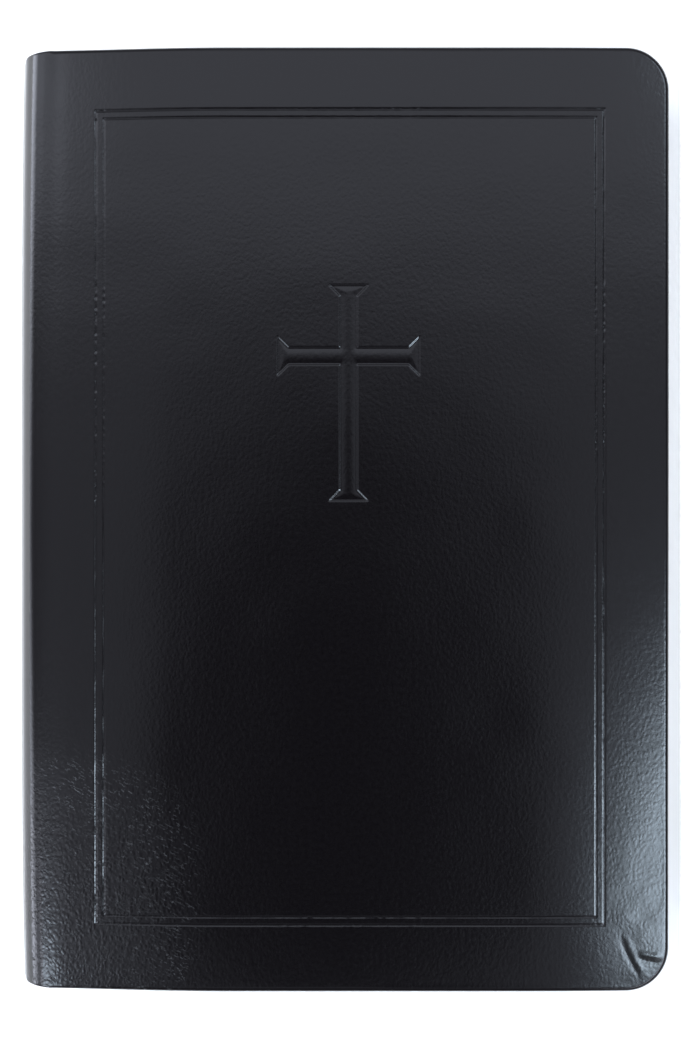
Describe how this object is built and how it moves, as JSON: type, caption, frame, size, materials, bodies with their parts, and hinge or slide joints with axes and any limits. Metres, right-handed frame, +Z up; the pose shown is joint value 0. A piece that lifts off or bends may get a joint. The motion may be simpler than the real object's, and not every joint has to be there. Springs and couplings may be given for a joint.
{
  "type": "prayer book",
  "caption": "Closed prayer book in a thin flexible leather cover with a tooled double rule frame and a pressed cross. The covers open and the leaves turn.",
  "frame": {"origin": "under the middle of the closed book, on the surface that the back cover rests on", "axes": "+Z up out of the front cover, +Y towards the head of the book, +X from the spine to the fore edge"},
  "size_m": [0.146, 0.21, 0.03],
  "materials": {
    "leather": "semi-gloss black bonded leather, fine grain",
    "board": "matt greyboard",
    "endpaper": "uncoated ivory endpaper",
    "page_paper": "thin uncoated book paper",
    "lining": "kraft paper glued over the spine",
    "cloth": "open-weave mull",
    "thread": "waxed linen thread",
    "headband": "woven band with alternating stripes"
  },
  "bodies": {
    "back_half": {"section_01": "page_paper", "section_02": "page_paper", "section_03": "page_paper", "section_04": "page_paper", "section_05": "page_paper", "section_06": "page_paper", "middle_leaf_back": "page_paper", "back_flyleaf": "endpaper", "spine_leather_back": "leather", "spine_lining_back": "lining", "spine_cloth_back": "cloth", "sewing_thread_back": "thread", "headband_back": "headband", "tailband_back": "headband"},
    "front_half": {"section_07": "page_paper", "section_08": "page_paper", "section_09": "page_paper", "section_10": "page_paper", "section_11": "page_paper", "section_12": "page_paper", "middle_leaf_front": "page_paper", "spine_leather_front": "leather", "spine_lining_front": "lining", "spine_cloth_front": "cloth", "sewing_thread_front": "thread", "headband_front": "headband", "tailband_front": "headband"},
    "front_cover": {"front_cover_leather": "leather", "front_cover_board": "board", "front_pastedown": "endpaper"},
    "back_cover": {"back_cover_leather": "leather", "back_cover_board": "board", "back_pastedown": "endpaper"},
    "front_endpaper": {"front_flyleaf": "endpaper"},
    "leaf_1": {"turning_leaf_1": "page_paper"},
    "leaf_2": {"turning_leaf_2": "page_paper"},
    "leaf_3": {"turning_leaf_3": "page_paper"},
    "leaf_4": {"turning_leaf_4": "page_paper"},
    "leaf_5": {"turning_leaf_5": "page_paper"},
    "leaf_6": {"turning_leaf_6": "page_paper"}
  },
  "joints": [
    {"name": "open_middle", "type": "hinge", "parent": "back_half", "child": "front_half", "pos_m": [-0.073, 0, 0.015], "axis": [0, -1, 0], "range_deg": [0, 178]},
    {"name": "front_cover_hinge", "type": "hinge", "parent": "front_half", "child": "front_cover", "pos_m": [-0.073, 0, 0.03], "axis": [0, 1, 0], "range_deg": [-178, 0]},
    {"name": "back_cover_hinge", "type": "hinge", "parent": "back_half", "child": "back_cover", "pos_m": [-0.073, 0, 0], "axis": [0, -1, 0], "range_deg": [-178, 0]},
    {"name": "front_flyleaf_turn", "type": "hinge", "parent": "front_half", "child": "front_endpaper", "pos_m": [-0.0691, 0, 0.028], "axis": [0, 1, 0], "range_deg": [-134, 0]},
    {"name": "leaf_1_turn", "type": "hinge", "parent": "back_half", "child": "leaf_1", "pos_m": [-0.073, 0, 0.015], "axis": [0, -1, 0], "range_deg": [0, 12]},
    {"name": "leaf_2_turn", "type": "hinge", "parent": "back_half", "child": "leaf_2", "pos_m": [-0.073, 0, 0.015], "axis": [0, -1, 0], "range_deg": [0, 28]},
    {"name": "leaf_3_turn", "type": "hinge", "parent": "back_half", "child": "leaf_3", "pos_m": [-0.073, 0, 0.015], "axis": [0, -1, 0], "range_deg": [0, 65]},
    {"name": "leaf_4_turn", "type": "hinge", "parent": "front_half", "child": "leaf_4", "pos_m": [-0.073, 0, 0.015], "axis": [0, -1, 0], "range_deg": [-65, 0]},
    {"name": "leaf_5_turn", "type": "hinge", "parent": "front_half", "child": "leaf_5", "pos_m": [-0.073, 0, 0.015], "axis": [0, -1, 0], "range_deg": [-28, 0]},
    {"name": "leaf_6_turn", "type": "hinge", "parent": "front_half", "child": "leaf_6", "pos_m": [-0.073, 0, 0.015], "axis": [0, -1, 0], "range_deg": [-12, 0]}
  ],
  "couplings": [
    {"joint": "front_flyleaf_turn", "follows": "front_cover_hinge", "ratio": 0.75},
    {"joint": "leaf_1_turn", "follows": "open_middle", "ratio": 0.06},
    {"joint": "leaf_2_turn", "follows": "open_middle", "ratio": 0.15},
    {"joint": "leaf_3_turn", "follows": "open_middle", "ratio": 0.36},
    {"joint": "leaf_4_turn", "follows": "open_middle", "ratio": -0.36},
    {"joint": "leaf_5_turn", "follows": "open_middle", "ratio": -0.15},
    {"joint": "leaf_6_turn", "follows": "open_middle", "ratio": -0.06}
  ]
}
